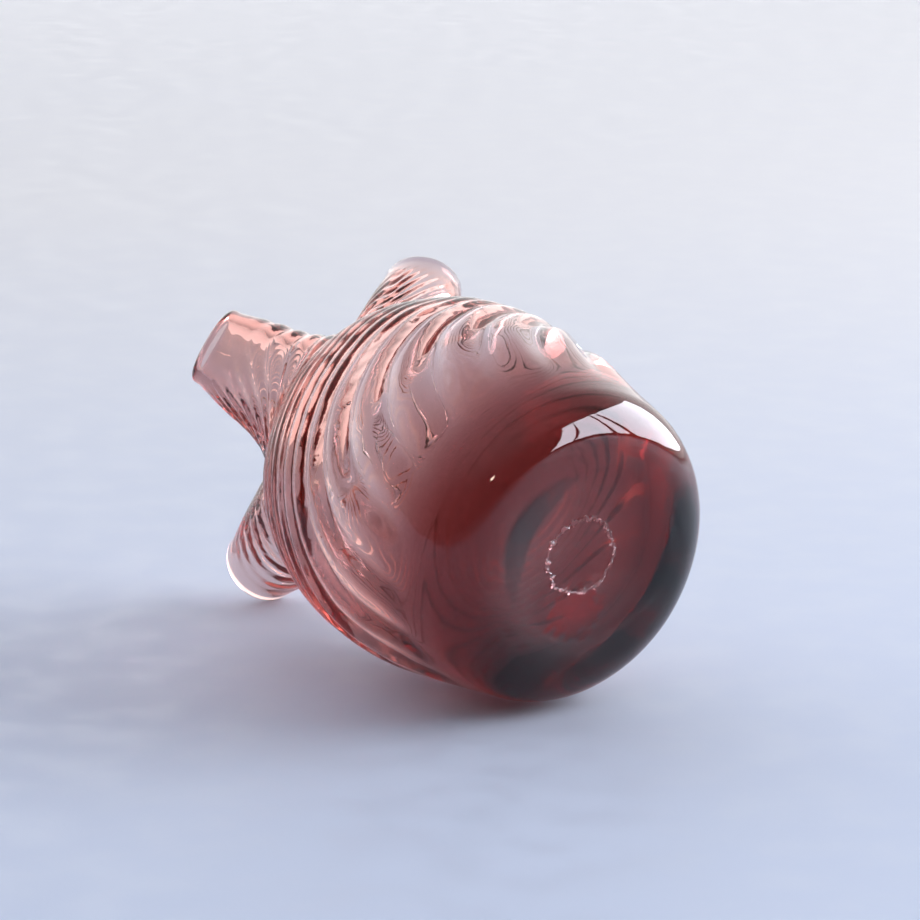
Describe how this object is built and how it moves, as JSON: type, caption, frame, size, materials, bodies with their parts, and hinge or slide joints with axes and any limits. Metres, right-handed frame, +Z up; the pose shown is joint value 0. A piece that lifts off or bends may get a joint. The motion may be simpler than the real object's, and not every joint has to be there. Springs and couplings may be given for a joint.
{
  "type": "three-necked glass bud vase",
  "caption": "Round hand-blown glass vase with a thick base and short curved necks that spread from its top, lying on its side. Holds water and single flower stems.",
  "frame": {"origin": "On the floor plane, under the middle of the part's outer box as it lies on its side.", "axes": "+Z is up and the floor is z = 0. The vase's own axis lies in the XZ plane: its base faces +X and a little down, its necks point to -X, 8.2 degrees above the floor. neck_lower points down from the axis and its lip touches the floor, neck_front turns to -Y and neck_back to +Y."},
  "size_m": [0.1618, 0.0998, 0.0965],
  "materials": {
    "glass": "clear brownish-mauve glass, fire-polished, with soft moulded ribs and a few seed bubbles",
    "rough_glass": "the same glass, broken off rough and unpolished"
  },
  "bodies": {
    "root": {"base": "glass", "body": "glass", "neck_front": "glass", "neck_back": "glass", "neck_lower": "glass", "pontil_scar": "rough_glass"}
  },
  "joints": []
}
